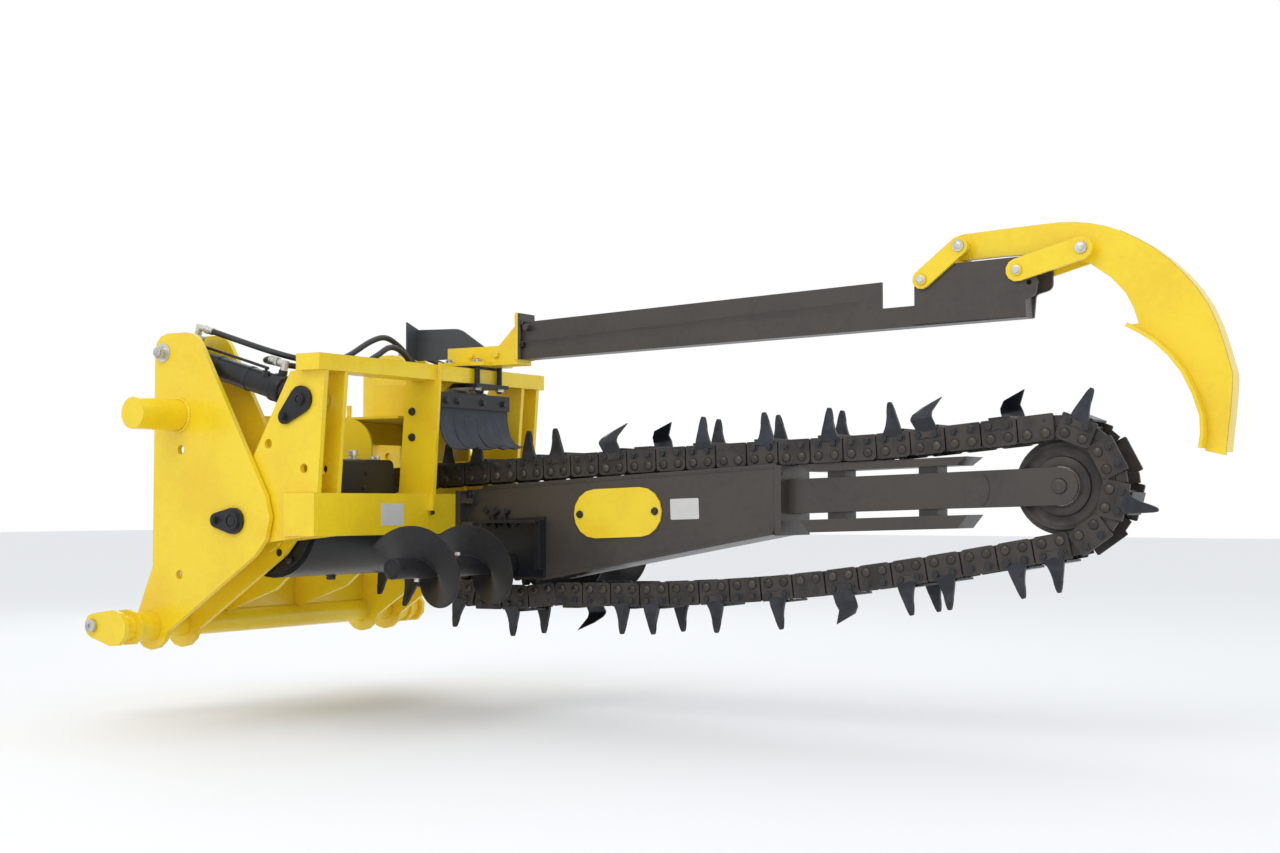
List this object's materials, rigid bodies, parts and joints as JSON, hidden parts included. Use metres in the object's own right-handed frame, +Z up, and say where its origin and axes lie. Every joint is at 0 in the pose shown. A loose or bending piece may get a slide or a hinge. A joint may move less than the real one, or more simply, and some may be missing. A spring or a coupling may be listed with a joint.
{
  "type": "chain trencher",
  "caption": "Tractor-mounted chain trencher: hitch frame, gearbox, boom with digging chain, spoil augers, lift cylinders and trench cleaner",
  "frame": {"origin": "centre of the front end face of the power take-off input shaft", "axes": "+X to the rear along the boom, +Y to the side away from the gearbox cover (the machine's right), +Z up"},
  "size_m": [3.1268, 1.625, 1.1847],
  "materials": {
    "machine_yellow": "gloss machine yellow paint",
    "satin_black": "satin black paint",
    "guard_grey": "dark blue-grey paint",
    "zinc_bright": "bright zinc plating",
    "chain_steel": "dark oiled steel",
    "rod_chrome": "polished hard chrome",
    "rubber_black": "matte black rubber"
  },
  "bodies": {
    "hitch": {"hitch_frame": "machine_yellow", "left_lower_hitch_pin": "zinc_bright", "right_lower_hitch_pin": "zinc_bright", "left_pivot_pin": "satin_black", "right_pivot_pin": "satin_black", "left_cylinder_top_pin": "zinc_bright", "right_cylinder_top_pin": "zinc_bright", "gearbox_housing": "satin_black", "gearbox_cover": "satin_black", "breather_cap": "zinc_bright", "head_bearing_inner": "chain_steel", "head_bearing_outer": "satin_black"},
    "pto": {"pto_input_shaft": "chain_steel"},
    "head": {"head_shaft": "chain_steel", "crown_wheel": "chain_steel", "drive_sprocket": "chain_steel"},
    "swing": {"swing_frame": "machine_yellow", "left_cylinder_rod_pin": "satin_black", "right_cylinder_rod_pin": "satin_black", "sprocket_hood": "machine_yellow", "hose_guard": "guard_grey", "flap_bar": "satin_black", "rubber_flap": "rubber_black", "boom": "satin_black", "boom_cover": "machine_yellow", "tension_screw": "zinc_bright", "chain_upper_run": "chain_steel", "chain_nose_turn": "chain_steel", "chain_lower_run": "chain_steel", "chain_head_turn": "chain_steel", "left_auger_bracket": "satin_black", "right_auger_bracket": "satin_black", "crumber_bracket": "machine_yellow", "crumber_pad": "satin_black", "crumber_clamp": "zinc_bright", "crumber_arm": "satin_black"},
    "tension": {"tension_arm": "satin_black", "upper_guide_rail": "satin_black", "lower_guide_rail": "satin_black", "nose_axle": "satin_black"},
    "nose": {"nose_wheel": "chain_steel"},
    "augers": {"auger_shaft": "chain_steel", "left_auger": "satin_black", "right_auger": "satin_black", "auger_sprocket": "chain_steel"},
    "left_barrel": {"left_cylinder_barrel": "satin_black", "left_cap_elbow": "zinc_bright", "left_rod_elbow": "zinc_bright", "cap_side_hose": "rubber_black", "rod_side_hose": "rubber_black"},
    "right_barrel": {"right_cylinder_barrel": "satin_black", "right_cap_elbow": "zinc_bright", "right_rod_elbow": "zinc_bright"},
    "left_rod": {"left_cylinder_rod": "rod_chrome"},
    "right_rod": {"right_cylinder_rod": "rod_chrome"},
    "front_links": {"front_links": "machine_yellow"},
    "rear_links": {"rear_links": "machine_yellow"},
    "crumber_shoe": {"crumber_shoe": "machine_yellow", "front_shoe_pin": "zinc_bright", "rear_shoe_pin": "zinc_bright"}
  },
  "joints": [
    {"name": "chain_drive", "type": "hinge", "parent": "hitch", "child": "head", "pos_m": [0.261, 0.229, 0.049], "axis": [0, 1, 0], "continuous": true},
    {"name": "pto_spin", "type": "hinge", "parent": "hitch", "child": "pto", "pos_m": [0, 0, 0], "axis": [1, 0, 0], "continuous": true},
    {"name": "boom_lift", "type": "hinge", "parent": "hitch", "child": "swing", "pos_m": [0.261, 0, 0.049], "axis": [0, 1, 0], "range_deg": [0, 60]},
    {"name": "chain_tension", "type": "slide", "parent": "swing", "child": "tension", "axis": [0.9995, 0, 0.0321], "range_m": [-0.012, 0]},
    {"name": "nose_spin", "type": "hinge", "parent": "tension", "child": "nose", "pos_m": [2.488, 0.229, 0.145], "axis": [0, 1, 0], "continuous": true},
    {"name": "auger_spin", "type": "hinge", "parent": "swing", "child": "augers", "pos_m": [0.76, 0.229, -0.085], "axis": [0, 1, 0], "continuous": true},
    {"name": "left_barrel_tilt", "type": "hinge", "parent": "hitch", "child": "left_barrel", "pos_m": [-0.041, -0.48, 0.555], "axis": [0, 1, 0], "range_deg": [0, 20]},
    {"name": "right_barrel_tilt", "type": "hinge", "parent": "hitch", "child": "right_barrel", "pos_m": [-0.041, 0.48, 0.555], "axis": [0, 1, 0], "range_deg": [0, 20]},
    {"name": "left_rod_tilt", "type": "hinge", "parent": "swing", "child": "left_rod", "pos_m": [0.501, -0.48, 0.398], "axis": [0, 1, 0], "range_deg": [-40.5, 0]},
    {"name": "right_rod_tilt", "type": "hinge", "parent": "swing", "child": "right_rod", "pos_m": [0.501, 0.48, 0.398], "axis": [0, 1, 0], "range_deg": [-40.5, 0]},
    {"name": "front_link_tilt", "type": "hinge", "parent": "swing", "child": "front_links", "pos_m": [2.106, 0.229, 0.713], "axis": [0, 1, 0], "range_deg": [-8, 8]},
    {"name": "rear_link_tilt", "type": "hinge", "parent": "swing", "child": "rear_links", "pos_m": [2.378, 0.229, 0.721], "axis": [0, 1, 0], "range_deg": [-12.5, 12.5]},
    {"name": "shoe_tilt", "type": "hinge", "parent": "front_links", "child": "crumber_shoe", "pos_m": [2.215, 0.229, 0.798], "axis": [0, 1, 0], "range_deg": [-4.5, 4.5]}
  ],
  "couplings": [
    {"joint": "pto_spin", "follows": "chain_drive", "ratio": 3},
    {"joint": "nose_spin", "follows": "chain_drive", "ratio": 0.8154},
    {"joint": "auger_spin", "follows": "chain_drive", "ratio": 1.2727},
    {"joint": "left_barrel_tilt", "follows": "boom_lift", "ratio": 0.33},
    {"joint": "right_barrel_tilt", "follows": "boom_lift", "ratio": 0.33},
    {"joint": "left_rod_tilt", "follows": "boom_lift", "ratio": -0.67},
    {"joint": "right_rod_tilt", "follows": "boom_lift", "ratio": -0.67},
    {"joint": "rear_link_tilt", "follows": "front_link_tilt", "ratio": 1.528},
    {"joint": "shoe_tilt", "follows": "front_link_tilt", "ratio": -0.528}
  ]
}
